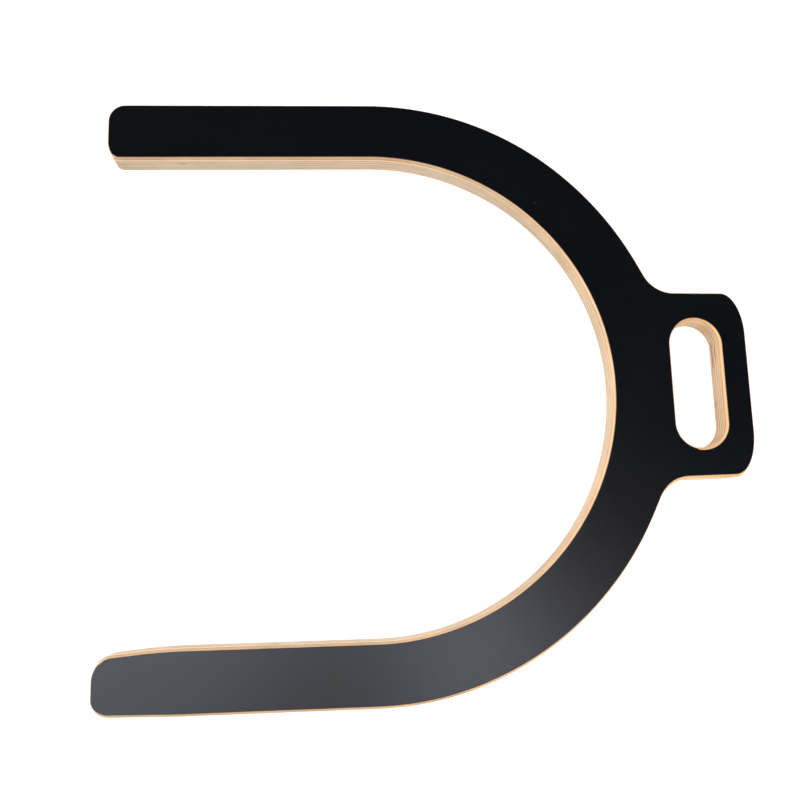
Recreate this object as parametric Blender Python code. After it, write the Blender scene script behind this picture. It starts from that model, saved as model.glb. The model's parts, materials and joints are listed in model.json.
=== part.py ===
"""U-shaped hand-held board, routed from one sheet of film-faced birch plywood.

The board lies flat: X runs along the two arms towards the handle, Y across them and Z up through the
plies. The origin is the centre of the board's footprint, on its under face. Sizes are in metres.
"""
import math

import bmesh
import bpy

# Plan of the board
GAP_RADIUS = 0.1524            # half of the 12 inch gap between the arms, and the radius of its round end
ARM_WIDTH = 0.0387             # width of the arms and of the arc that joins them
ARM_LENGTH = 0.1680            # straight part of each arm
HANDLE_REACH = 0.2424          # from the centre of the arc to the handle's outer edge
HANDLE_HALF_WIDTH = 0.0599     # at the handle's outer edge
HANDLE_SPLAY = math.radians(1.0)     # how much each side of the handle widens towards the arc
HANDLE_OFFSET = 0.0003         # the handle sits this far off the centre line
EASE_ANGLE = math.radians(50.0)      # from here to the neck the outer edge stands out of its circle
NECK_ANGLE = math.radians(26.7)      # the way the neck's straight edge faces
NECK_RISE = 0.0011             # how far outside the arc's circle that edge runs
NECK_RADIUS = 0.0205           # inside radius where the neck meets the handle's side

# Corners: how far each one reaches along its first and its second edge
HANDLE_CORNER = (0.0280, 0.0148)     # along the outer edge, along the side
UPPER_OUTER_CORNER = (0.0116, 0.0120)    # along the arm, across its end
LOWER_OUTER_CORNER = (0.0115, 0.0103)
UPPER_INNER_CORNER = (0.0130, 0.0082)    # across the end, along the arm
LOWER_INNER_CORNER = (0.0139, 0.0121)
LOWER_TAPER = math.radians(5.1)      # the lower arm's inner edge is eased back towards its end
TAPER_LENGTH = 0.0410
TAPER_BLEND = 0.0120           # half the length of the soft bend at the start of that taper
LOWER_OUTER_TAPER = math.radians(1.35)   # and its outer edge a little less
OUTER_TAPER_LENGTH = 0.0490

# Hand slot
SLOT_CENTRE = 0.2081           # from the centre of the arc
SLOT_OFFSET = 0.0004
SLOT_WIDTH = 0.0314
SLOT_LENGTH = 0.0820

# Section through the sheet
THICKNESS = 0.0180
ROUND_OVER = 0.0030            # radius routed on both rims and on both ends of the slot
FILM = 0.0002
GLUE_LINE = 0.0001
VENEER_COUNT = 13

# Facets
CORNER_STEPS = 5
NECK_STEPS = 4
BEND_STEPS = 2
OUTER_ARC_STEPS = 8
EASE_STEPS = 4
INNER_HALF_STEPS = 16
SLOT_END_STEPS = 9

CENTRE_X = (ARM_LENGTH - HANDLE_REACH) / 2      # the arc's centre, seen from the board's origin
OUTER_RADIUS = GAP_RADIUS + ARM_WIDTH
EASE_RADIUS = OUTER_RADIUS + NECK_RISE / (1 - math.cos(EASE_ANGLE - NECK_ANGLE))
VENEER = (THICKNESS - 2 * FILM - (VENEER_COUNT + 1) * GLUE_LINE) / VENEER_COUNT


def steps(start, end, count):
    """Evenly spaced values from start to end, both included."""
    return [start + (end - start) * i / count for i in range(count + 1)]


def crossing(start, heading, other_start, other_heading):
    """The point where two straight lines meet."""
    across = heading[1] * other_heading[0] - heading[0] * other_heading[1]
    dx = other_start[0] - start[0]
    dy = other_start[1] - start[1]
    run = (dy * other_heading[0] - dx * other_heading[1]) / across
    return (start[0] + heading[0] * run, start[1] + heading[1] * run)


def corner(tip, arriving, leaving, reach_in, reach_out, count=CORNER_STEPS):
    """A quarter-ellipse that rounds the tip between two straight edges."""
    points = []
    for turn in steps(0.0, math.pi / 2, count):
        back = reach_in * (1 - math.sin(turn))
        on = reach_out * (1 - math.cos(turn))
        points.append((tip[0] - arriving[0] * back + leaving[0] * on,
                       tip[1] - arriving[1] * back + leaving[1] * on))
    return points


def neck_fillet(tip, arriving, leaving):
    """A round arc of NECK_RADIUS in the hollow between the handle's side and the neck."""
    start_angle = math.atan2(arriving[1], arriving[0])
    turn = start_angle - math.atan2(leaving[1], leaving[0])
    reach = NECK_RADIUS * math.tan(turn / 2)
    centre_x = tip[0] - arriving[0] * reach + arriving[1] * NECK_RADIUS
    centre_y = tip[1] - arriving[1] * reach - arriving[0] * NECK_RADIUS
    points = []
    for part in steps(0.0, turn, NECK_STEPS):
        heading = start_angle - part
        points.append((centre_x - math.sin(heading) * NECK_RADIUS,
                       centre_y + math.cos(heading) * NECK_RADIUS))
    return points


def arc(radius, start, end, count):
    return [(radius * math.cos(a), radius * math.sin(a)) for a in steps(start, end, count)]


def eased_arc():
    """The flatter arc that carries the outer edge from the neck back onto its circle."""
    centre_x = (OUTER_RADIUS - EASE_RADIUS) * math.cos(EASE_ANGLE)
    centre_y = (OUTER_RADIUS - EASE_RADIUS) * math.sin(EASE_ANGLE)
    points = arc(EASE_RADIUS, NECK_ANGLE, EASE_ANGLE, EASE_STEPS)
    return [(centre_x + x, centre_y + y) for x, y in points]


def handle_side(half_width):
    """Half of the handle, from its outer edge to the end of the neck."""
    side = (-math.cos(HANDLE_SPLAY), math.sin(HANDLE_SPLAY))
    neck = (-math.sin(NECK_ANGLE), math.cos(NECK_ANGLE))
    points = corner((HANDLE_REACH, half_width), (0, 1), side, *HANDLE_CORNER)
    points += neck_fillet(crossing((HANDLE_REACH, half_width), side, eased_arc()[0], neck), side, neck)
    return points


def arm_half(half_width, outer_corner, inner_corner, taper, outer_taper):
    """Half of the outline in the upper half-plane, from the handle round to the gap's round end."""
    points = handle_side(half_width)
    points += eased_arc()[:-1] + arc(OUTER_RADIUS, EASE_ANGLE, math.pi / 2, OUTER_ARC_STEPS)
    outer_edge = (-math.cos(outer_taper), -math.sin(outer_taper))
    outer_eased = OUTER_TAPER_LENGTH * math.tan(outer_taper)
    if outer_taper:
        points.append((OUTER_TAPER_LENGTH - ARM_LENGTH, OUTER_RADIUS))
    points += corner((-ARM_LENGTH, OUTER_RADIUS - outer_eased), outer_edge, (0, -1), *outer_corner)
    edge = (math.cos(taper), -math.sin(taper))
    eased = TAPER_LENGTH * math.tan(taper)
    points += corner((-ARM_LENGTH, GAP_RADIUS + eased), (0, -1), edge, *inner_corner)
    if taper:
        bend = (TAPER_LENGTH - ARM_LENGTH, GAP_RADIUS)
        points += corner(bend, edge, (1, 0), TAPER_BLEND, TAPER_BLEND, BEND_STEPS)
    points += arc(GAP_RADIUS, math.pi / 2, 0.0, INNER_HALF_STEPS)
    return points


def board_outline():
    """The board's outline, anticlockwise from above, round the board's own origin."""
    upper = arm_half(HANDLE_HALF_WIDTH + HANDLE_OFFSET, UPPER_OUTER_CORNER, UPPER_INNER_CORNER, 0.0, 0.0)
    lower = arm_half(HANDLE_HALF_WIDTH - HANDLE_OFFSET, LOWER_OUTER_CORNER, LOWER_INNER_CORNER,
                     LOWER_TAPER, LOWER_OUTER_TAPER)
    mirrored = [(x, -y) for x, y in reversed(lower)]
    return [(x + CENTRE_X, y) for x, y in upper + mirrored[1:]]


def slot_outline():
    """The hand slot's outline, clockwise from above, so that its left side is the wood."""
    radius = SLOT_WIDTH / 2
    straight = SLOT_LENGTH / 2 - radius
    upper_end = arc(radius, math.pi, 0.0, SLOT_END_STEPS)
    lower_end = arc(radius, 0.0, -math.pi, SLOT_END_STEPS)
    points = [(x, y + straight) for x, y in upper_end] + [(x, y - straight) for x, y in lower_end]
    return [(x + CENTRE_X + SLOT_CENTRE, y + SLOT_OFFSET) for x, y in points]


def drawn_in(outline, distance):
    """The outline moved into the wood, which lies on its left, by a distance."""
    moved = []
    for i, point in enumerate(outline):
        before = outline[i - 1]
        after = outline[(i + 1) % len(outline)]
        first = math.atan2(point[1] - before[1], point[0] - before[0])
        second = math.atan2(after[1] - point[1], after[0] - point[0])
        half_turn = math.remainder(second - first, math.tau) / 2
        inward = first + half_turn + math.pi / 2
        reach = distance / math.cos(half_turn)
        moved.append((point[0] + math.cos(inward) * reach, point[1] + math.sin(inward) * reach))
    return moved


def rim_inset(height):
    """How far the round-over draws the wall in at a height."""
    depth = min(height, THICKNESS - height)
    if depth >= ROUND_OVER:
        return 0.0
    return ROUND_OVER - math.sqrt(ROUND_OVER ** 2 - (ROUND_OVER - depth) ** 2)


def section_heights(bottom, top):
    """The heights at which a layer's wall changes slope."""
    bends = [ROUND_OVER, THICKNESS - ROUND_OVER]
    return [bottom] + [height for height in bends if bottom < height < top] + [top]


def add_wall(work, outline, heights):
    """A closed band of faces that follows the outline, and the edges of its two rims."""
    rings = []
    for height in heights:
        rings.append([work.verts.new((x, y, height)) for x, y in drawn_in(outline, rim_inset(height))])
    for lower, upper in zip(rings, rings[1:]):
        for i in range(len(lower)):
            work.faces.new((lower[i - 1], lower[i], upper[i], upper[i - 1]))
    rims = []
    for ring in (rings[0], rings[-1]):
        rims.append([work.edges.get((ring[i - 1], ring[i])) for i in range(len(ring))])
    return rims


def add_layer(name, bottom, top, material):
    """One sheet of the laminate: the routed board between two heights."""
    work = bmesh.new()
    heights = section_heights(bottom, top)
    outer_rims = add_wall(work, board_outline(), heights)
    slot_rims = add_wall(work, slot_outline(), heights)
    for outer, slot, up in zip(outer_rims, slot_rims, (-1.0, 1.0)):
        bmesh.ops.triangle_fill(work, use_beauty=True, edges=outer + slot, normal=(0, 0, up))
    bmesh.ops.recalc_face_normals(work, faces=work.faces)
    mesh = bpy.data.meshes.new(name)
    work.to_mesh(mesh)
    work.free()
    mesh.materials.append(material)
    layer = bpy.data.objects.new(name, mesh)
    bpy.context.scene.collection.objects.link(layer)
    return layer


def add_material(name, colour, roughness):
    material = bpy.data.materials.new(name)
    material.use_nodes = True
    shader = material.node_tree.nodes["Principled BSDF"]
    shader.inputs["Base Color"].default_value = (*colour, 1.0)
    shader.inputs["Roughness"].default_value = roughness
    shader.inputs["Metallic"].default_value = 0.0
    return material


def build():
    for thing in list(bpy.data.objects):
        bpy.data.objects.remove(thing, do_unlink=True)

    film = add_material("phenolic_film", (0.010, 0.012, 0.016), 0.38)
    grain_along_arms = add_material("birch_grain_along_arms", (0.74, 0.54, 0.36), 0.62)
    grain_across_arms = add_material("birch_grain_across_arms", (0.64, 0.45, 0.28), 0.66)

    add_layer("bottom_film", 0.0, FILM, film)
    for number in range(1, VENEER_COUNT + 1):
        bottom = FILM + GLUE_LINE + (number - 1) * (VENEER + GLUE_LINE)
        grain = grain_across_arms if number % 2 else grain_along_arms
        add_layer("veneer_%02d" % number, bottom, bottom + VENEER, grain)
    add_layer("top_film", THICKNESS - FILM, THICKNESS, film)


build()
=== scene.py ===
import json
import math

import bpy
from mathutils import Euler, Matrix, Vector


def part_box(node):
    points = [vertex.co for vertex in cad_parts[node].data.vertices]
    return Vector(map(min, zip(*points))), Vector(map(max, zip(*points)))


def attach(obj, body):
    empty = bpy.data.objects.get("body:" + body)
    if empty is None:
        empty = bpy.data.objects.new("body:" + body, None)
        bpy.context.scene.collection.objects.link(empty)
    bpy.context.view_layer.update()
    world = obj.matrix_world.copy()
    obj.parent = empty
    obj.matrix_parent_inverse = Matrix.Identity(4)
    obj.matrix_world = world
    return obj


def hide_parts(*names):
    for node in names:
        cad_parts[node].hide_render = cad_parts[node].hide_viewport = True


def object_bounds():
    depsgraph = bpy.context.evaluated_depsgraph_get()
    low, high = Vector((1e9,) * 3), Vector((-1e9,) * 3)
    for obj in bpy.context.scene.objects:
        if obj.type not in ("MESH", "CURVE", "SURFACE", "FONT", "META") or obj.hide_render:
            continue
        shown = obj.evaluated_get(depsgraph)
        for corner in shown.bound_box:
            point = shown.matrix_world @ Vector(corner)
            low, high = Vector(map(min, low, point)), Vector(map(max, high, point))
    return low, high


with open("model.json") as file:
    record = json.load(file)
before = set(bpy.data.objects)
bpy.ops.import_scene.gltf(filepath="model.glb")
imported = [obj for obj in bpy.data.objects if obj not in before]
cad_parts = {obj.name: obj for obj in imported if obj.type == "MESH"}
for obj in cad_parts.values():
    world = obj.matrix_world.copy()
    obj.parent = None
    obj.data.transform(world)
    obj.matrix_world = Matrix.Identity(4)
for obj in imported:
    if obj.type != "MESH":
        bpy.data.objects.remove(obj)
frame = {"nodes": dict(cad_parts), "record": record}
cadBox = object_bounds()
sheetThickness = cadBox[1].z
outerRadius = cadBox[1].y
mounts = {mount["name"]: mount["pos_m"] for mount in frame["record"]["mounts"]}
gapRadius = mounts["upper_arm_inside"][1]      # half of the gap between the arms
print("frame loaded:", len(frame["nodes"]), "layers,", round(sheetThickness * 1000, 1), "mm thick")


# Short forms for building node trees

def addNode(tree, kind, **settings):
    node = tree.nodes.new(kind)
    for name, value in settings.items():
        setattr(node, name, value)
    return node


def feed(tree, socket, value):
    if isinstance(value, bpy.types.NodeSocket):
        tree.links.new(value, socket)
    else:
        socket.default_value = value


def calc(tree, operation, *values):
    node = addNode(tree, "ShaderNodeMath", operation=operation)
    for socket, value in zip(node.inputs, values):
        feed(tree, socket, value)
    return node.outputs[0]


def calcVector(tree, operation, *values):
    node = addNode(tree, "ShaderNodeVectorMath", operation=operation)
    for socket, value in zip(node.inputs, values):
        feed(tree, socket, value)
    return node.outputs["Value" if operation == "DOT_PRODUCT" else "Vector"]


def splitVector(tree, vector):
    node = addNode(tree, "ShaderNodeSeparateXYZ")
    feed(tree, node.inputs[0], vector)
    return node.outputs


def joinVector(tree, x, y, z):
    node = addNode(tree, "ShaderNodeCombineXYZ")
    for socket, value in zip(node.inputs, (x, y, z)):
        feed(tree, socket, value)
    return node.outputs[0]


def ramp(tree, value, low, high, outLow=0.0, outHigh=1.0, kind="LINEAR"):
    node = addNode(tree, "ShaderNodeMapRange", interpolation_type=kind)
    for name, number in (("Value", value), ("From Min", low), ("From Max", high),
                         ("To Min", outLow), ("To Max", outHigh)):
        feed(tree, node.inputs[name], number)
    return node.outputs["Result"]


def noise(tree, place, scale, detail, roughness, seed):
    node = addNode(tree, "ShaderNodeTexNoise", noise_dimensions="4D")
    for name, number in (("Vector", place), ("W", seed), ("Scale", scale), ("Detail", detail),
                         ("Roughness", roughness)):
        feed(tree, node.inputs[name], number)
    return node.outputs["Fac"]


def colourStops(tree, value, stops, kind="LINEAR"):
    node = addNode(tree, "ShaderNodeValToRGB")
    node.color_ramp.interpolation = kind
    feed(tree, node.inputs[0], value)
    elements = node.color_ramp.elements
    while len(elements) < len(stops):
        elements.new(0.5)
    for element, (position, colour) in zip(elements, stops):
        element.position = position
        element.color = (*colour, 1.0)
    return node.outputs[0]


def evenVector(tree, value):
    return joinVector(tree, value, value, value)


# The board's plan: sizes in metres, round the centre of the arc

boardPlan = {
    "armLength": 0.1680,
    "handleReach": 0.2424,
    "handleHalfWidth": 0.0599,
    "handleSplay": math.radians(1.0),
    "handleOffset": 0.0003,
    "handleCorner": (0.0280, 0.0148),   # a corner's reach along the edge before it and the edge after it
    "easeAngle": math.radians(50.0),    # from here to the neck the outer edge stands out of its circle
    "neckAngle": math.radians(26.7),    # the way the neck's straight edge faces
    "neckRise": 0.0011,
    "neckRadius": 0.0205,
    "upperOuterCorner": (0.0116, 0.0120),
    "lowerOuterCorner": (0.0115, 0.0103),
    "upperInnerCorner": (0.0130, 0.0082),
    "lowerInnerCorner": (0.0139, 0.0121),
    "lowerTaper": math.radians(5.1),
    "taperLength": 0.0410,
    "taperBlend": 0.0120,
    "lowerOuterTaper": math.radians(1.35),
    "outerTaperLength": 0.0490,
    "slotCentre": (0.2081, 0.0004),
    "slotWidth": 0.0314,
    "slotLength": 0.0820,
    "stepAngle": math.radians(1.0),     # fineness of the curves
}
boardPlan["centreX"] = cadBox[1].x - boardPlan["handleReach"]


def arcPoints(radius, start, end):
    count = max(2, math.ceil(abs(end - start) / boardPlan["stepAngle"]))
    angles = [start + (end - start) * i / count for i in range(count + 1)]
    return [(radius * math.cos(a), radius * math.sin(a)) for a in angles]


def softCorner(tip, arriving, leaving, reachIn, reachOut):
    points = []
    for x, y in arcPoints(1.0, 0.0, math.pi / 2):
        back = reachIn * (1 - y)
        on = reachOut * (1 - x)
        points.append((tip[0] - arriving[0] * back + leaving[0] * on,
                       tip[1] - arriving[1] * back + leaving[1] * on))
    return points


def crossing(start, heading, otherStart, otherHeading):
    across = heading[0] * otherHeading[1] - heading[1] * otherHeading[0]
    dx = otherStart[0] - start[0]
    dy = otherStart[1] - start[1]
    run = (dx * otherHeading[1] - dy * otherHeading[0]) / across
    return (start[0] + heading[0] * run, start[1] + heading[1] * run)


def neckFillet(tip, arriving, leaving):
    radius = boardPlan["neckRadius"]
    startAngle = math.atan2(arriving[1], arriving[0])
    turn = startAngle - math.atan2(leaving[1], leaving[0])
    reach = radius * math.tan(turn / 2)
    centreX = tip[0] - arriving[0] * reach + arriving[1] * radius
    centreY = tip[1] - arriving[1] * reach - arriving[0] * radius
    half = math.pi / 2
    around = arcPoints(radius, startAngle + half, startAngle + half - turn)
    return [(centreX + x, centreY + y) for x, y in around]


def easedArc():
    start, end = boardPlan["neckAngle"], boardPlan["easeAngle"]
    radius = outerRadius + boardPlan["neckRise"] / (1 - math.cos(end - start))
    centreX = (outerRadius - radius) * math.cos(end)
    centreY = (outerRadius - radius) * math.sin(end)
    return [(centreX + x, centreY + y) for x, y in arcPoints(radius, start, end)]


# Half of the board's edge, from the handle's outer side round to the middle of the gap
def halfOutline(halfWidth, outerCorner, innerCorner, taper, outerTaper):
    plan = boardPlan
    tip = (plan["handleReach"], halfWidth)
    side = (-math.cos(plan["handleSplay"]), math.sin(plan["handleSplay"]))
    neck = (-math.sin(plan["neckAngle"]), math.cos(plan["neckAngle"]))
    eased = easedArc()
    points = softCorner(tip, (0, 1), side, *plan["handleCorner"])
    points += neckFillet(crossing(tip, side, eased[0], neck), side, neck)
    points += eased[:-1] + arcPoints(outerRadius, plan["easeAngle"], math.pi / 2)
    outerEdge = (-math.cos(outerTaper), -math.sin(outerTaper))
    outerFall = plan["outerTaperLength"] * math.tan(outerTaper)
    if outerTaper:
        points.append((plan["outerTaperLength"] - plan["armLength"], outerRadius))
    points += softCorner((-plan["armLength"], outerRadius - outerFall), outerEdge, (0, -1), *outerCorner)
    innerEdge = (math.cos(taper), -math.sin(taper))
    innerRise = plan["taperLength"] * math.tan(taper)
    points += softCorner((-plan["armLength"], gapRadius + innerRise), (0, -1), innerEdge, *innerCorner)
    if taper:
        bend = (plan["taperLength"] - plan["armLength"], gapRadius)
        points += softCorner(bend, innerEdge, (1, 0), plan["taperBlend"], plan["taperBlend"])
    return points + arcPoints(gapRadius, math.pi / 2, 0.0)


def boardOutline():
    plan = boardPlan
    upper = halfOutline(plan["handleHalfWidth"] + plan["handleOffset"],
                        plan["upperOuterCorner"], plan["upperInnerCorner"], 0.0, 0.0)
    lower = halfOutline(plan["handleHalfWidth"] - plan["handleOffset"],
                        plan["lowerOuterCorner"], plan["lowerInnerCorner"],
                        plan["lowerTaper"], plan["lowerOuterTaper"])
    return upper + [(x, -y) for x, y in reversed(lower)][1:]


def slotOutline():
    plan = boardPlan
    radius = plan["slotWidth"] / 2
    straight = plan["slotLength"] / 2 - radius
    centreX, centreY = plan["slotCentre"]
    upperEnd = [(x, y + straight) for x, y in arcPoints(radius, math.pi, 0.0)]
    lowerEnd = [(x, y - straight) for x, y in arcPoints(radius, 0.0, -math.pi)]
    return [(x + centreX, y + centreY) for x, y in upperEnd + lowerEnd]


def guideCurve(name, points):
    curve = bpy.data.curves.new(name, "CURVE")
    curve.dimensions = "3D"
    spline = curve.splines.new("POLY")
    spline.points.add(len(points) - 1)
    for point, (x, y) in zip(spline.points, points):
        point.co = (x + boardPlan["centreX"], y, 0.0, 1.0)
    spline.use_cyclic_u = True
    guide = bpy.data.objects.new(name, curve)
    bpy.context.scene.collection.objects.link(guide)
    return guide


# One tree makes every layer: a wall swept round both outlines, drawn in by the round-over, and two faces

wallShape = {
    "crispFacing": (-0.95, -0.55),     # how the outer edge faces, from its full rim to its crisp one
    "chipFlat": 0.4,                   # share of a chip's reach that is at its full depth
    "wanderLift": 3.0,                 # the cut's ripple changes faster up the wall than along it
    "ripple": (2.0, 0.5),              # that ripple's detail and roughness
    "rippleMiddle": 0.3,
    "hollow": (1.0, 0.5),              # the same for the patches that are missing
    "hollowFade": 0.02,
    "hollowSeed": 7.3,
    "weldDistance": 0.000002,
    "sharpAngle": math.radians(32),
}

layerInputs = [
    ("Outline", "NodeSocketObject", None),
    ("Slot", "NodeSocketObject", None),
    ("Bottom", "NodeSocketFloat", 0.0),
    ("Top", "NodeSocketFloat", 0.001),
    ("Sheet Thickness", "NodeSocketFloat", 0.018),
    ("Round Over", "NodeSocketFloat", 0.003),
    ("Far Round Over", "NodeSocketFloat", 0.0015),
    ("Far Set Back", "NodeSocketFloat", 0.0007),
    ("Arc Centre", "NodeSocketVector", (0.0, 0.0, 0.0)),
    ("Chips", "NodeSocketObject", None),
    ("Chip Depth", "NodeSocketFloat", 0.0),
    ("Chip Reach", "NodeSocketFloat", 0.001),
    ("Point Spacing", "NodeSocketFloat", 0.0012),
    ("Rings", "NodeSocketInt", 5),
    ("Edge Ease", "NodeSocketFloat", 0.00004),
    ("Least Depth", "NodeSocketFloat", 0.0),    # the round-over goes no further in above this depth
    ("Set Back", "NodeSocketFloat", 0.0),
    ("Wander", "NodeSocketFloat", 0.00003),
    ("Wander Size", "NodeSocketFloat", 0.004),
    ("Hollow Depth", "NodeSocketFloat", 0.0),
    ("Hollow Size", "NodeSocketFloat", 0.02),
    ("Hollow Share", "NodeSocketFloat", 0.2),
    ("Seed", "NodeSocketFloat", 0.0),
    ("Material", "NodeSocketMaterial", None),
]


def layerTree():
    tree = bpy.data.node_groups.new("routedLayer", "GeometryNodeTree")
    for name, kind, value in layerInputs:
        socket = tree.interface.new_socket(name, in_out="INPUT", socket_type=kind)
        if value is not None:
            socket.default_value = value
    tree.interface.new_socket("Geometry", in_out="OUTPUT", socket_type="NodeSocketGeometry")
    given = addNode(tree, "NodeGroupInput").outputs

    # both outlines as one curve, with evenly spaced points
    both = addNode(tree, "GeometryNodeJoinGeometry")
    for name in ("Outline", "Slot"):
        guide = addNode(tree, "GeometryNodeObjectInfo", transform_space="ORIGINAL")
        feed(tree, guide.inputs["Object"], given[name])
        tree.links.new(guide.outputs["Geometry"], both.inputs[0])
    resampled = addNode(tree, "GeometryNodeResampleCurve", mode="LENGTH")
    feed(tree, resampled.inputs["Curve"], both.outputs[0])
    feed(tree, resampled.inputs["Length"], given["Point Spacing"])

    # each point remembers where it is and which way is out of the wood
    place = addNode(tree, "GeometryNodeInputPosition").outputs[0]
    tangent = addNode(tree, "GeometryNodeInputTangent").outputs[0]
    outward = calcVector(tree, "NORMALIZE", calcVector(tree, "CROSS_PRODUCT", tangent, (0.0, 0.0, 1.0)))
    keep = addNode(tree, "GeometryNodeCaptureAttribute", domain="POINT")
    keep.capture_items.new("VECTOR", "Place")
    keep.capture_items.new("VECTOR", "Outward")
    feed(tree, keep.inputs["Geometry"], resampled.outputs[0])
    feed(tree, keep.inputs["Place"], place)
    feed(tree, keep.inputs["Outward"], outward)
    route = keep.outputs["Geometry"]

    # the outer edge has a crisper rim where it doesn't face the near side
    fromCentre = calcVector(tree, "SUBTRACT", keep.outputs["Place"], given["Arc Centre"])
    turnedOut = calcVector(tree, "DOT_PRODUCT", fromCentre, keep.outputs["Outward"])
    onOuterEdge = calc(tree, "GREATER_THAN", turnedOut, 0.0)
    facingFar = splitVector(tree, keep.outputs["Outward"])[1]
    crispShare = ramp(tree, facingFar, *wallShape["crispFacing"], kind="SMOOTHSTEP")
    crisp = calc(tree, "MULTIPLY", onOuterEdge, crispShare)
    softer = calc(tree, "SUBTRACT", given["Far Round Over"], given["Round Over"])
    radius = calc(tree, "ADD", given["Round Over"], calc(tree, "MULTIPLY", crisp, softer))
    farBack = calc(tree, "MULTIPLY", crisp, given["Far Set Back"])

    # how much of a chip each point of the edge loses
    chipPoints = addNode(tree, "GeometryNodeObjectInfo", transform_space="ORIGINAL")
    feed(tree, chipPoints.inputs["Object"], given["Chips"])
    nearest = addNode(tree, "GeometryNodeProximity", target_element="POINTS")
    feed(tree, nearest.inputs[0], chipPoints.outputs["Geometry"])
    feed(tree, nearest.inputs["Sample Position"], keep.outputs["Place"])
    flatReach = calc(tree, "MULTIPLY", given["Chip Reach"], wallShape["chipFlat"])
    isClose = ramp(tree, nearest.outputs["Distance"], given["Chip Reach"], flatReach)
    chip = calc(tree, "MULTIPLY", isClose, given["Chip Depth"])

    # where each point of the edge goes at a height above the floor
    def drawnIn(height):
        fromTop = calc(tree, "SUBTRACT", given["Sheet Thickness"], height)
        depth = calc(tree, "MAXIMUM", calc(tree, "MINIMUM", height, fromTop), given["Least Depth"])
        rise = calc(tree, "MAXIMUM", calc(tree, "SUBTRACT", radius, depth), 0.0)
        radiusSquare = calc(tree, "MULTIPLY", radius, radius)
        square = calc(tree, "SUBTRACT", radiusSquare, calc(tree, "MULTIPLY", rise, rise))
        rounding = calc(tree, "SUBTRACT", radius, calc(tree, "SQRT", calc(tree, "MAXIMUM", square, 0.0)))

        # the layer's own two rims are eased a little
        fromBottom = calc(tree, "SUBTRACT", height, given["Bottom"])
        fromRim = calc(tree, "MINIMUM", fromBottom, calc(tree, "SUBTRACT", given["Top"], height))
        easing = calc(tree, "MAXIMUM", calc(tree, "SUBTRACT", given["Edge Ease"], fromRim), 0.0)

        # the cut ripples
        lift = joinVector(tree, 0.0, 0.0, calc(tree, "MULTIPLY", height, wallShape["wanderLift"]))
        lifted = calcVector(tree, "ADD", keep.outputs["Place"], lift)
        rippleScale = calc(tree, "DIVIDE", 1.0, given["Wander Size"])
        ripple = noise(tree, lifted, rippleScale, *wallShape["ripple"], given["Seed"])
        offMiddle = calc(tree, "SUBTRACT", ripple, wallShape["rippleMiddle"])
        wander = calc(tree, "MULTIPLY", offMiddle, given["Wander"])

        # patches of a layer are missing
        patchScale = calc(tree, "DIVIDE", 1.0, given["Hollow Size"])
        patchSeed = calc(tree, "ADD", given["Seed"], wallShape["hollowSeed"])
        patch = noise(tree, keep.outputs["Place"], patchScale, *wallShape["hollow"], patchSeed)
        limit = calc(tree, "SUBTRACT", 1.0, given["Hollow Share"])
        inPatch = ramp(tree, patch, limit, calc(tree, "ADD", limit, wallShape["hollowFade"]))
        hollow = calc(tree, "MULTIPLY", inPatch, given["Hollow Depth"])

        total = given["Set Back"]
        for part in (farBack, rounding, easing, wander, hollow, chip):
            total = calc(tree, "ADD", total, part)
        inward = calcVector(tree, "MULTIPLY", keep.outputs["Outward"], evenVector(tree, total))
        x, y, _ = splitVector(tree, calcVector(tree, "SUBTRACT", keep.outputs["Place"], inward))
        return joinVector(tree, x, y, height)

    # the wall's section: rings at the bottom and the top, and the others spread between the eased rims
    eases = calc(tree, "MULTIPLY", given["Edge Ease"], 2.0)
    span = calc(tree, "SUBTRACT", calc(tree, "SUBTRACT", given["Top"], given["Bottom"]), eases)
    gaps = calc(tree, "SUBTRACT", given["Rings"], 3.0)
    number = calc(tree, "SUBTRACT", addNode(tree, "GeometryNodeInputIndex").outputs[0], 1.0)
    climb = calc(tree, "MULTIPLY", span, calc(tree, "DIVIDE", number, gaps))
    level = calc(tree, "ADD", calc(tree, "ADD", given["Bottom"], given["Edge Ease"]), climb)
    level = calc(tree, "MINIMUM", calc(tree, "MAXIMUM", level, given["Bottom"]), given["Top"])
    line = addNode(tree, "GeometryNodeMeshLine")
    feed(tree, line.inputs["Count"], given["Rings"])
    lineCurve = addNode(tree, "GeometryNodeMeshToCurve")
    keepLevel = addNode(tree, "GeometryNodeCaptureAttribute", domain="POINT")
    keepLevel.capture_items.new("FLOAT", "Level")
    feed(tree, keepLevel.inputs["Geometry"], line.outputs[0])
    feed(tree, keepLevel.inputs["Level"], level)
    feed(tree, lineCurve.inputs["Mesh"], keepLevel.outputs["Geometry"])

    wall = addNode(tree, "GeometryNodeCurveToMesh")
    feed(tree, wall.inputs["Curve"], route)
    feed(tree, wall.inputs["Profile Curve"], lineCurve.outputs[0])
    wallPlaced = addNode(tree, "GeometryNodeSetPosition")
    feed(tree, wallPlaced.inputs["Geometry"], wall.outputs[0])
    feed(tree, wallPlaced.inputs["Position"], drawnIn(keepLevel.outputs["Level"]))
    wallTurned = addNode(tree, "GeometryNodeFlipFaces")
    feed(tree, wallTurned.inputs[0], wallPlaced.outputs[0])
    wallSmooth = addNode(tree, "GeometryNodeSetShadeSmooth", domain="FACE")
    feed(tree, wallSmooth.inputs["Geometry"], wallTurned.outputs[0])
    feed(tree, wallSmooth.inputs["Shade Smooth"], True)

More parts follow.
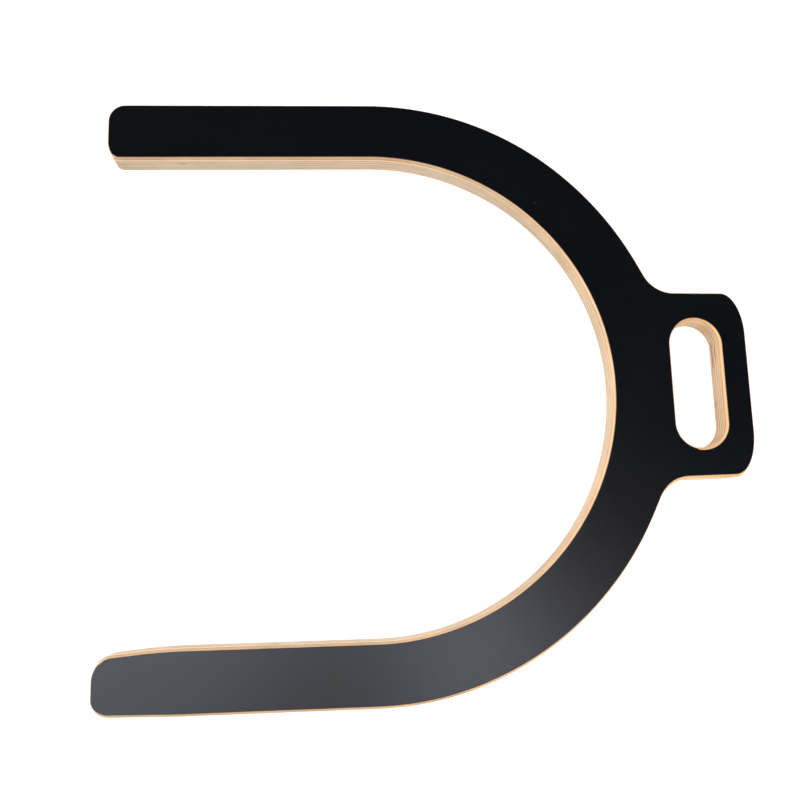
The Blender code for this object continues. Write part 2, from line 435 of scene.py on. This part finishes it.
    shell = addNode(tree, "GeometryNodeJoinGeometry")
    tree.links.new(wallSmooth.outputs[0], shell.inputs[0])
    for name in ("Bottom", "Top"):
        rim = addNode(tree, "GeometryNodeSetPosition")
        feed(tree, rim.inputs["Geometry"], route)
        feed(tree, rim.inputs["Position"], drawnIn(given[name]))
        face = addNode(tree, "GeometryNodeFillCurve")
        feed(tree, face.inputs["Curve"], rim.outputs[0])
        facePlaced = addNode(tree, "GeometryNodeSetPosition")
        feed(tree, facePlaced.inputs["Geometry"], face.outputs[0])
        x, y, _ = splitVector(tree, addNode(tree, "GeometryNodeInputPosition").outputs[0])
        feed(tree, facePlaced.inputs["Position"], joinVector(tree, x, y, given[name]))
        faceFlat = addNode(tree, "GeometryNodeSetShadeSmooth", domain="FACE")
        feed(tree, faceFlat.inputs["Geometry"], facePlaced.outputs[0])
        feed(tree, faceFlat.inputs["Shade Smooth"], False)
        done = faceFlat.outputs[0]
        if name == "Bottom":
            turned = addNode(tree, "GeometryNodeFlipFaces")
            feed(tree, turned.inputs[0], done)
            done = turned.outputs[0]
        tree.links.new(done, shell.inputs[0])

    closed = addNode(tree, "GeometryNodeMergeByDistance")
    feed(tree, closed.inputs["Geometry"], shell.outputs[0])
    feed(tree, closed.inputs["Distance"], wallShape["weldDistance"])
    realized = addNode(tree, "GeometryNodeRealizeInstances")
    feed(tree, realized.inputs[0], closed.outputs[0])
    coloured = addNode(tree, "GeometryNodeSetMaterial")
    feed(tree, coloured.inputs["Geometry"], realized.outputs[0])
    feed(tree, coloured.inputs["Material"], given["Material"])
    tree.links.new(coloured.outputs[0], addNode(tree, "NodeGroupOutput").inputs[0])
    return tree


def makeLayer(name, tree, values):
    holder = bpy.data.objects.new(name + "Holder", bpy.data.meshes.new(name + "Holder"))
    bpy.context.scene.collection.objects.link(holder)
    modifier = holder.modifiers.new("Layer", "NODES")
    modifier.node_group = tree
    for item in tree.interface.items_tree:
        if item.in_out == "INPUT" and item.name in values:
            modifier[item.identifier] = values[item.name]
    graph = bpy.context.evaluated_depsgraph_get()
    mesh = bpy.data.meshes.new_from_object(holder.evaluated_get(graph), depsgraph=graph)
    bpy.data.objects.remove(holder)
    mesh.name = name
    while mesh.materials[0] is None:
        mesh.materials.pop(index=0)
    mesh.set_sharp_from_angle(angle=wallShape["sharpAngle"])
    layer = bpy.data.objects.new(name, mesh)
    bpy.context.scene.collection.objects.link(layer)
    return layer


# Finishes: each noise is given by its scale, detail and roughness

noiseRange = (0.3, 0.7)                # what a noise mostly keeps to


def average(tree, first, second, share=0.5):
    firstPart = calc(tree, "MULTIPLY", first, 1 - share)
    return calc(tree, "ADD", firstPart, calc(tree, "MULTIPLY", second, share))


def newMaterial(name):
    material = bpy.data.materials.new(name)
    material.use_nodes = True
    tree = material.node_tree
    return material, tree, tree.nodes["Principled BSDF"].inputs


def blendColours(tree, share, first, second, kind="MIX"):
    node = addNode(tree, "ShaderNodeMix", data_type="RGBA", blend_type=kind)
    feed(tree, node.inputs["Factor"], share)
    for socket, colour in ((node.inputs[6], first), (node.inputs[7], second)):
        feed(tree, socket, colour if isinstance(colour, bpy.types.NodeSocket) else (*colour, 1.0))
    return node.outputs[2]


def addBump(tree, shader, height, strength, distance):
    bump = addNode(tree, "ShaderNodeBump")
    feed(tree, bump.inputs["Height"], height)
    feed(tree, bump.inputs["Strength"], strength)
    feed(tree, bump.inputs["Distance"], distance)
    feed(tree, shader["Normal"], bump.outputs[0])


def stretched(tree, vector, scale, turn=0.0):
    node = addNode(tree, "ShaderNodeMapping")
    feed(tree, node.inputs["Vector"], vector)
    feed(tree, node.inputs["Scale"], scale)
    feed(tree, node.inputs["Rotation"], (0.0, 0.0, turn))
    return node.outputs[0]


filmFinish = {
    "black": (0.0006, 0.0016, 0.0036),
    "darkShare": 0.85,                 # the darkest patches, next to that black
    "cutEdge": (0.026, 0.010, 0.005),
    "cutDepth": (0.00001, 0.00004),    # below the face, where the brown cut side begins
    "scuff": (0.10, 0.105, 0.11),
    "roughness": (0.17, 0.23),
    "wearRoughness": 0.15,
    "cutRoughness": 0.5,
    "mottle": (120.0, 4.0, 0.6),
    "cloud": (14.0, 2.0, 0.5),
    "speckScale": 55.0,
    "speckRarity": 0.93,
    "speckSize": 0.018,
    "speckStrength": 0.8,
    "scratch": (1.0, 3.0, 0.6),
    "scratches": [((30.0, 900.0, 1.0), 0.35, (0.73, 0.80)), ((800.0, 26.0, 1.0), -0.2, (0.75, 0.82))],
    "wornWhere": (0.45, 0.7),
    "wearStrength": 0.05,
    "grain": (1400.0, 2.0, 0.6),
    "mottleHeight": 0.6,
    "scratchHeight": 0.8,
    "bump": (0.10, 0.00006),
    "seed": 4.0,
}


def filmMaterial():
    look = filmFinish
    material, tree, shader = newMaterial("blackFilm")
    place = addNode(tree, "ShaderNodeTexCoord").outputs["Object"]
    z = splitVector(tree, place)[2]
    depth = calc(tree, "MINIMUM", z, calc(tree, "SUBTRACT", sheetThickness, z))
    cut = ramp(tree, depth, *look["cutDepth"])
    mottle = noise(tree, place, *look["mottle"], look["seed"])
    cloud = noise(tree, place, *look["cloud"], look["seed"] + 1)

    # specks, and fine scratches both ways
    speck = addNode(tree, "ShaderNodeTexVoronoi")
    feed(tree, speck.inputs["Vector"], place)
    feed(tree, speck.inputs["Scale"], look["speckScale"])
    chosen = calc(tree, "GREATER_THAN", splitVector(tree, speck.outputs["Color"])[0], look["speckRarity"])
    near = calc(tree, "LESS_THAN", speck.outputs["Distance"], look["speckSize"])
    specks = calc(tree, "MULTIPLY", chosen, near)
    lines = 0.0
    for number, (scale, turn, limits) in enumerate(look["scratches"], 2):
        scratch = noise(tree, stretched(tree, place, scale, turn), *look["scratch"], look["seed"] + number)
        lines = calc(tree, "MAXIMUM", lines, ramp(tree, scratch, *limits))
    wear = calc(tree, "MULTIPLY", lines, ramp(tree, cloud, *look["wornWhere"]))
    faintWear = calc(tree, "MULTIPLY", wear, look["wearStrength"])
    scuffs = calc(tree, "MAXIMUM", calc(tree, "MULTIPLY", specks, look["speckStrength"]), faintWear)

    darkest = tuple(look["darkShare"] * part for part in look["black"])
    black = blendColours(tree, ramp(tree, mottle, *noiseRange), darkest, look["black"])
    worn = blendColours(tree, scuffs, black, look["scuff"])
    feed(tree, shader["Base Color"], blendColours(tree, cut, worn, look["cutEdge"]))
    rough = ramp(tree, average(tree, mottle, cloud), *noiseRange, *look["roughness"])
    rough = calc(tree, "ADD", rough, calc(tree, "MULTIPLY", wear, look["wearRoughness"]))
    rough = calc(tree, "ADD", rough, calc(tree, "MULTIPLY", cut, look["cutRoughness"]))
    feed(tree, shader["Roughness"], rough)
    grain = noise(tree, place, *look["grain"], look["seed"] + 4)
    height = calc(tree, "ADD", grain, calc(tree, "MULTIPLY", mottle, look["mottleHeight"]))
    height = calc(tree, "SUBTRACT", height, calc(tree, "MULTIPLY", lines, look["scratchHeight"]))
    addBump(tree, shader, height, *look["bump"])
    return material


birchFinish = {
    "sideLight": (0.87, 0.69, 0.50),
    "sideDark": (0.78, 0.58, 0.39),
    "sideRange": (0.36, 0.64),
    "endLight": (0.71, 0.53, 0.36),
    "endDark": (0.50, 0.34, 0.21),
    "endRange": (0.36, 0.66),
    "endFacing": (0.25, 0.85),         # how squarely the cut crosses the fibres, from side to end grain
    "fibreLength": 0.045,
    "fibreWidth": 0.0006,
    "fibres": (1.0, 4.0, 0.62),
    "broad": (1.0, 3.0, 0.5),
    "broadScale": 0.16,                # the broad stripes' scale, next to the fibres'
    "broadShare": 0.4,
    "pores": (2600.0, 3.0, 0.7),
    "patches": (38.0, 3.0, 0.55),
    "glueStain": (0.16, 0.085, 0.04),
    "stainReach": (0.00018, 0.00004),
    "stainPatches": (0.3, 0.6),
    "stainStrength": (0.15, 0.6),
    # each veneer's tone, from the floor up
    "plyTones": (1.00, 0.90, 1.01, 0.90, 1.05, 0.89, 1.10, 0.86, 1.03, 0.95, 1.02, 1.05, 1.0),
    "bands": (1.0, 2.0, 0.5),
    "bandScale": (22.0, 22.0, 420.0),  # long thin bands of tone, flat in the sheet
    "bandRange": (0.32, 0.68),
    "bandTones": (0.90, 1.09),
    "rimDepth": (0.0030, 0.0018),      # from either face, where the edge turns into the rim
    "rimTint": (1.0, 0.86, 0.70),
    "wallTone": 0.88,                  # the square part of the edge is a little darker than the rims
    "handleLightStart": (0.04, 0.16),
    "handleLightTint": (1.12, 1.04, 0.93),  # painted light: the wood is painted a little warmer and lighter round the handle, where more light falls on it
    "roughness": (0.52, 0.68),
    "bump": (0.35, 0.00012),
    "seed": 11.0,
}


def tinted(tree, share, colour, tint):
    return blendColours(tree, share, colour, blendColours(tree, 1.0, colour, tint, "MULTIPLY"))


def plyTone(tree, level, values):
    stops = [(index / len(values), (value, value, value)) for index, value in enumerate(values)]
    share = calc(tree, "DIVIDE", level, len(values))
    return splitVector(tree, colourStops(tree, share, stops, "CONSTANT"))[0]


# The fibres run along X (0) or Y (1), and show as side grain or end grain by the way that the cut faces
def birchMaterial(name, grainAxis):
    look = birchFinish
    material, tree, shader = newMaterial(name)
    coords = addNode(tree, "ShaderNodeTexCoord")
    place = coords.outputs["Object"]
    x, _, z = splitVector(tree, place)
    scale = [1.0 / look["fibreWidth"]] * 3
    scale[grainAxis] = 1.0 / look["fibreLength"]
    axis = [0.0, 0.0, 0.0]
    axis[grainAxis] = 1.0
    facing = calc(tree, "ABSOLUTE", calcVector(tree, "DOT_PRODUCT", coords.outputs["Normal"], tuple(axis)))
    endness = ramp(tree, facing, *look["endFacing"], kind="SMOOTHSTEP")
    broadScale = tuple(look["broadScale"] * value for value in scale)
    fibres = noise(tree, stretched(tree, place, tuple(scale)), *look["fibres"], look["seed"])
    broad = noise(tree, stretched(tree, place, broadScale), *look["broad"], look["seed"] + 1)
    pores = noise(tree, place, *look["pores"], look["seed"] + 2)
    patches = noise(tree, place, *look["patches"], look["seed"] + 3)
    sideShare = ramp(tree, average(tree, fibres, broad, look["broadShare"]), *look["sideRange"])
    side = blendColours(tree, sideShare, look["sideLight"], look["sideDark"])
    endShare = ramp(tree, average(tree, pores, patches), *look["endRange"])
    end = blendColours(tree, endShare, look["endLight"], look["endDark"])
    wood = blendColours(tree, endness, side, end)

    # tones by the veneer, the band, and the rims
    level = calc(tree, "DIVIDE", calc(tree, "SUBTRACT", z, glueStart), layerPitch)
    depth = calc(tree, "MINIMUM", z, calc(tree, "SUBTRACT", sheetThickness, z))
    rim = ramp(tree, depth, *look["rimDepth"])
    bands = noise(tree, stretched(tree, place, look["bandScale"]), *look["bands"], look["seed"] + 4)
    bandTone = ramp(tree, bands, *look["bandRange"], *look["bandTones"])
    tone = calc(tree, "MULTIPLY", plyTone(tree, level, look["plyTones"]), bandTone)
    tone = calc(tree, "MULTIPLY", tone, ramp(tree, rim, 0.0, 1.0, look["wallTone"], 1.0))
    shaded = blendColours(tree, 1.0, wood, evenVector(tree, tone), "MULTIPLY")
    # painted light: the wood round the handle is made lighter and warmer, where more light falls on it
    shaded = tinted(tree, ramp(tree, x, *look["handleLightStart"]), shaded, look["handleLightTint"])
    shaded = tinted(tree, rim, shaded, look["rimTint"])

    # glue has soaked a little way into the wood beside each glue line
    inLayer = calc(tree, "FRACT", level)
    toGlue = calc(tree, "MINIMUM", inLayer, calc(tree, "SUBTRACT", 1.0, inLayer))
    soaked = ramp(tree, calc(tree, "MULTIPLY", toGlue, layerPitch), *look["stainReach"])
    stain = calc(tree, "MULTIPLY", soaked, ramp(tree, patches, *look["stainPatches"], *look["stainStrength"]))
    feed(tree, shader["Base Color"], blendColours(tree, stain, shaded, look["glueStain"]))

    feed(tree, shader["Roughness"], ramp(tree, endness, 0.0, 1.0, *look["roughness"]))
    sideHeight = calc(tree, "MULTIPLY", fibres, calc(tree, "SUBTRACT", 1.0, endness))
    height = calc(tree, "ADD", sideHeight, calc(tree, "MULTIPLY", pores, endness))
    addBump(tree, shader, height, *look["bump"])
    return material


glueFinish = {
    "dark": (0.055, 0.026, 0.012),
    "light": (0.14, 0.075, 0.035),
    "mottle": (900.0, 3.0, 0.6),
    "roughness": (0.45, 0.6),
    "bump": (0.2, 0.0001),
    "seed": 2.0,
}


def glueMaterial():
    look = glueFinish
    material, tree, shader = newMaterial("brownGlue")
    place = addNode(tree, "ShaderNodeTexCoord").outputs["Object"]
    mottle = noise(tree, place, *look["mottle"], look["seed"])
    colour = blendColours(tree, ramp(tree, mottle, *noiseRange), look["dark"], look["light"])
    feed(tree, shader["Base Color"], colour)
    feed(tree, shader["Roughness"], ramp(tree, mottle, *noiseRange, *look["roughness"]))
    addBump(tree, shader, mottle, *look["bump"])
    return material


# The layers, each at its CAD node's height

layerSettings = {
    "pointSpacing": 0.0011,
    "roundOver": 0.003,
    "farRoundOver": 0.0015,            # on the outer edge's crisper part
    "farSetBack": 0.0007,
    "plainRings": 5,
    "roundedRings": 12,
    "filmRings": 5,
    "glueRings": 4,
    "edgeEase": 0.00004,
    "filmEase": 0.00009,
    "glueEase": 0.00001,
    "wander": 0.00006,
    "wanderSize": 0.003,
    "hollowDepth": 0.0016,             # missing patches, in the veneers that have some
    "hollowSize": 0.011,
    "hollowShare": {3: 0.22, 9: 0.22},
    "glueSetBack": 0.00007,
    "nickDepth": 0.0007,               # nicks in the film's edge
    "nickSize": 0.0035,
    "nickShare": 0.24,
    "filmSeeds": {"bottom_film": 32.0, "top_film": 31.0},
    "glueSeed": 50.0,
}

veneers = sorted(name for name in frame["nodes"] if name.startswith("veneer_"))
heights = {name: (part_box(name)[0].z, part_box(name)[1].z) for name in frame["nodes"]}
slots = {part["node"]: part["material_slot"] for part in frame["record"]["subparts"]}
layerPitch = (heights[veneers[-1]][0] - heights[veneers[0]][0]) / (len(veneers) - 1)
glueLine = heights[veneers[1]][0] - heights[veneers[0]][1]
glueStart = heights[veneers[0]][0] - glueLine / 2

# places, on the outline, where a layer has lost a piece: chips in the film and gaps in the inner plies
arcCentre = Vector((boardPlan["centreX"], 0.0, 0.0))
chips = {
    "filmAngles": (-85.7, -85.0, -88.2, -73.6, -72.4, -71.6),    # round the arc's centre, on its outer edge
    "filmDepth": 0.0011,
    "filmReach": 0.0011,
    "plyPlaces": {
        5: [(0.1866, 0.014), (0.1866, 0.018), (0.1866, 0.022), (0.1862, 0.027)],
        8: [(0.1866, 0.020), (0.1864, 0.024)],
        4: [(0.1866, -0.012)],
        9: [(-0.157, 0.1524), (-0.099, -0.1524)],
    },
    "plyDepth": 0.0003,
    "plyReach": 0.0030,
}


def chipPoints(name, places):
    mesh = bpy.data.meshes.new(name)
    mesh.from_pydata([(x, y, 0.0) for x, y in places], [], [])
    guide = bpy.data.objects.new(name, mesh)
    bpy.context.scene.collection.objects.link(guide)
    return guide


def onOuterArc(angle):
    turn = math.radians(angle)
    return (arcCentre.x + outerRadius * math.cos(turn), outerRadius * math.sin(turn))


filmChips = chipPoints("filmChips", [onOuterArc(angle) for angle in chips["filmAngles"]])
plyChips = {ply: chipPoints("plyChips%d" % ply, places) for ply, places in chips["plyPlaces"].items()}

materials = {
    "film": filmMaterial(),
    "birch_along": birchMaterial("birchAlongArms", 0),
    "birch_across": birchMaterial("birchAcrossArms", 1),
    "glue": glueMaterial(),
}

tree = layerTree()
guides = {
    "Outline": guideCurve("outlineGuide", boardOutline()),
    "Slot": guideCurve("slotGuide", slotOutline()),
}
shared = {
    **guides,
    "Sheet Thickness": sheetThickness,
    "Round Over": layerSettings["roundOver"],
    "Far Round Over": layerSettings["farRoundOver"],
    "Far Set Back": layerSettings["farSetBack"],
    "Arc Centre": arcCentre,
    "Point Spacing": layerSettings["pointSpacing"],
    "Edge Ease": layerSettings["edgeEase"],
    "Wander": layerSettings["wander"],
    "Wander Size": layerSettings["wanderSize"],
}


def ringCount(bottom, top):
    radius = layerSettings["roundOver"]
    rounded = bottom < radius or top > sheetThickness - radius
    return layerSettings["roundedRings" if rounded else "plainRings"]


for number, name in enumerate(veneers, 1):
    bottom, top = heights[name]
    share = layerSettings["hollowShare"].get(number, 0.0)
    ply = makeLayer("ply_%02d" % number, tree, {
        **shared,
        "Bottom": bottom,
        "Top": top,
        "Rings": ringCount(bottom, top),
        "Hollow Depth": layerSettings["hollowDepth"] if share else 0.0,
        "Hollow Size": layerSettings["hollowSize"],
        "Hollow Share": share,
        "Chips": plyChips.get(number),
        "Chip Depth": chips["plyDepth"] if number in plyChips else 0.0,
        "Chip Reach": chips["plyReach"],
        "Seed": float(number),
        "Material": materials[slots[name]],
    })
    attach(ply, "root")
    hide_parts(name)
print("veneers made:", len(veneers))

for name, pieceName in (("bottom_film", "film_under"), ("top_film", "film_top")):
    bottom, top = heights[name]
    film = makeLayer(pieceName, tree, {
        **shared,
        "Bottom": bottom,
        "Top": top,
        "Rings": layerSettings["filmRings"],
        "Edge Ease": layerSettings["filmEase"],
        "Least Depth": top - bottom,
        "Hollow Depth": layerSettings["nickDepth"],
        "Hollow Size": layerSettings["nickSize"],
        "Hollow Share": layerSettings["nickShare"],
        "Chips": filmChips,
        "Chip Depth": chips["filmDepth"] if name == "top_film" else 0.0,
        "Chip Reach": chips["filmReach"],
        "Seed": layerSettings["filmSeeds"][name],
        "Material": materials["film"],
    })
    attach(film, "root")
    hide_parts(name)
print("films made")

edges = sorted(heights.values())
for number, (lower, upper) in enumerate(zip(edges, edges[1:]), 1):
    glue = makeLayer("glue_line_%02d" % number, tree, {
        **shared,
        "Bottom": lower[1],
        "Top": upper[0],
        "Rings": layerSettings["glueRings"],
        "Edge Ease": layerSettings["glueEase"],
        "Set Back": layerSettings["glueSetBack"],
        "Seed": layerSettings["glueSeed"] + number,
        "Material": materials["glue"],
    })
    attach(glue, "root")
print("glue lines made")

for guide in (*guides.values(), filmChips, *plyChips.values()):
    bpy.data.objects.remove(guide)


# Floor, light and camera

studio = {
    "floorSize": 6.0,
    "floorDrop": 0.0001,
    "floorColour": (0.42, 0.42, 0.42),
    "floorRoughness": 0.9,
    "floorGlow": 0.80,
    "cameraPlace": (-0.0497, -0.0910, 0.5295),
    "cameraTurn": (9.370, -3.055, -1.526),
    "cameraLens": 37.5,
}


def makeFloor():
    mesh = bpy.data.meshes.new("floor")
    half = studio["floorSize"] / 2
    corners = [(-half, -half), (half, -half), (half, half), (-half, half)]
    mesh.from_pydata([(x, y, -studio["floorDrop"]) for x, y in corners], [], [(0, 1, 2, 3)])
    floor = bpy.data.objects.new("floor", mesh)
    bpy.context.scene.collection.objects.link(floor)
    material, _, shader = newMaterial("floorPaper")
    shader["Base Color"].default_value = (*studio["floorColour"], 1.0)
    shader["Roughness"].default_value = studio["floorRoughness"]
    shader["Specular IOR Level"].default_value = 0.0
    shader["Emission Color"].default_value = (1.0, 1.0, 1.0, 1.0)
    shader["Emission Strength"].default_value = studio["floorGlow"]
    mesh.materials.append(material)


def makeCamera():
    camera = bpy.data.objects.new("camera", bpy.data.cameras.new("camera"))
    camera.location = studio["cameraPlace"]
    camera.rotation_euler = Euler([math.radians(angle) for angle in studio["cameraTurn"]])
    camera.data.lens = studio["cameraLens"]
    camera.data.clip_start = 0.01
    bpy.context.scene.collection.objects.link(camera)
    bpy.context.scene.camera = camera


sky = {
    "panel": 3.0,                               # a large soft light above, in front of a dim ceiling
    "panelHub": (0.024, 0.172),                 # the direction its brightness turns round
    "panelTurns": [                             # degrees on from the right-hand side, and its colour there
        (0.0, (0.0, 0.0, 0.0)),
        (12.0, (0.0, 0.0, 0.0)),
        (28.0, (0.045, 0.04, 0.045)),
        (45.0, (0.19, 0.17, 0.19)),
        (57.0, (0.44, 0.45, 0.50)),
        (67.0, (0.88, 0.93, 1.04)),
        (76.0, (0.80, 0.84, 0.95)),
        (84.0, (0.50, 0.52, 0.58)),
        (93.0, (0.33, 0.33, 0.36)),
        (104.0, (0.37, 0.36, 0.40)),
        (118.0, (0.54, 0.57, 0.63)),
        (132.0, (0.70, 0.77, 0.84)),
        (152.0, (0.67, 0.73, 0.80)),
        (175.0, (0.0, 0.0, 0.0)),
    ],
    "panelFade": (-0.18, -0.11, 1.0, 1.30),     # a little brighter towards the middle
    "panelFarEdge": (-0.55, -0.32),
    "panelLeft": (-0.75, -0.45),
    "panelRight": (0.55, 0.38),
    "dark": 0.068,
    "ring": (2.3, 1.2, 2.2, 0.50),              # low light from the left, right, far and near side
    "ringEdge": (0.72, 0.45),
    "ringInGloss": 0.3,
}


def blendVectors(tree, share, first, second):
    node = addNode(tree, "ShaderNodeMix", data_type="VECTOR")
    for socket, value in zip((node.inputs["Factor"], node.inputs[4], node.inputs[5]), (share, first, second)):
        feed(tree, socket, value)
    return node.outputs[1]


def panelLight(tree, x, y):
    hubX, hubY = sky["panelHub"]
    turn = calc(tree, "ARCTAN2", calc(tree, "SUBTRACT", y, hubY), calc(tree, "SUBTRACT", x, hubX))
    stops = [(degrees / 180, colour) for degrees, colour in sky["panelTurns"]]
    colour = colourStops(tree, calc(tree, "DIVIDE", turn, -math.pi), stops)
    strength = calc(tree, "MULTIPLY", sky["panel"], ramp(tree, y, *sky["panelFade"]))
    for value, edge in ((y, "panelFarEdge"), (x, "panelLeft"), (x, "panelRight")):
        strength = calc(tree, "MULTIPLY", strength, ramp(tree, value, *sky[edge], kind="SMOOTHSTEP"))
    return calcVector(tree, "MULTIPLY", colour, evenVector(tree, strength))


# The low ring's brightness goes smoothly from side to side
def ringLight(tree, x, y, z):
    acrossSquare = calc(tree, "SUBTRACT", 1.0001, calc(tree, "MULTIPLY", z, z))     # never quite nothing
    across = calc(tree, "SQRT", acrossSquare)
    ring = 0.0
    for value, sign, brightness in zip((x, x, y, y), (-1.0, 1.0, 1.0, -1.0), sky["ring"]):
        towards = calc(tree, "DIVIDE", calc(tree, "MULTIPLY", value, sign), across)
        share = calc(tree, "MAXIMUM", towards, 0.0)
        part = calc(tree, "MULTIPLY", calc(tree, "MULTIPLY", share, share), brightness)
        ring = calc(tree, "ADD", ring, part)
    return ring


def makeSky():
    world = bpy.data.worlds.new("studio")
    bpy.context.scene.world = world
    world.use_nodes = True
    tree = world.node_tree
    background = tree.nodes["Background"]
    direction = addNode(tree, "ShaderNodeTexCoord").outputs["Generated"]
    x, y, z = splitVector(tree, direction)
    above = calcVector(tree, "ADD", panelLight(tree, x, y), (sky["dark"], sky["dark"], sky["dark"]))
    rays = addNode(tree, "ShaderNodeLightPath").outputs
    inGloss = ramp(tree, rays["Is Glossy Ray"], 0.0, 1.0, 1.0, sky["ringInGloss"])
    ring = calc(tree, "MULTIPLY", ringLight(tree, x, y, z), inGloss)
    low = ramp(tree, z, *sky["ringEdge"], kind="SMOOTHSTEP")
    light = blendVectors(tree, low, above, evenVector(tree, ring))
    seen = blendVectors(tree, rays["Is Camera Ray"], light, (1.0, 1.0, 1.0))     # plain white behind it all
    feed(tree, background.inputs["Color"], seen)
    background.inputs["Strength"].default_value = 1.0


lamp = {
    "place": (0.30, -0.42, 0.24),      # low, on the near side of the handle
    "target": (0.16, 0.0, 0.0),
    "size": 0.30,
    "power": 1.0,
    "colour": (1.0, 0.93, 0.84),
}


def makeLamp():
    light = bpy.data.lights.new("handleLamp", "AREA")
    light.size = lamp["size"]
    light.energy = lamp["power"]
    light.color = lamp["colour"]
    holder = bpy.data.objects.new("handleLamp", light)
    holder.location = lamp["place"]
    aim = Vector(lamp["target"]) - Vector(lamp["place"])
    holder.rotation_euler = aim.to_track_quat("-Z", "Y").to_euler()
    holder.visible_glossy = False      # the film doesn't mirror it
    bpy.context.scene.collection.objects.link(holder)


makeFloor()
makeCamera()
makeSky()
makeLamp()
bpy.context.scene.view_settings.view_transform = "Standard"
print("studio made")
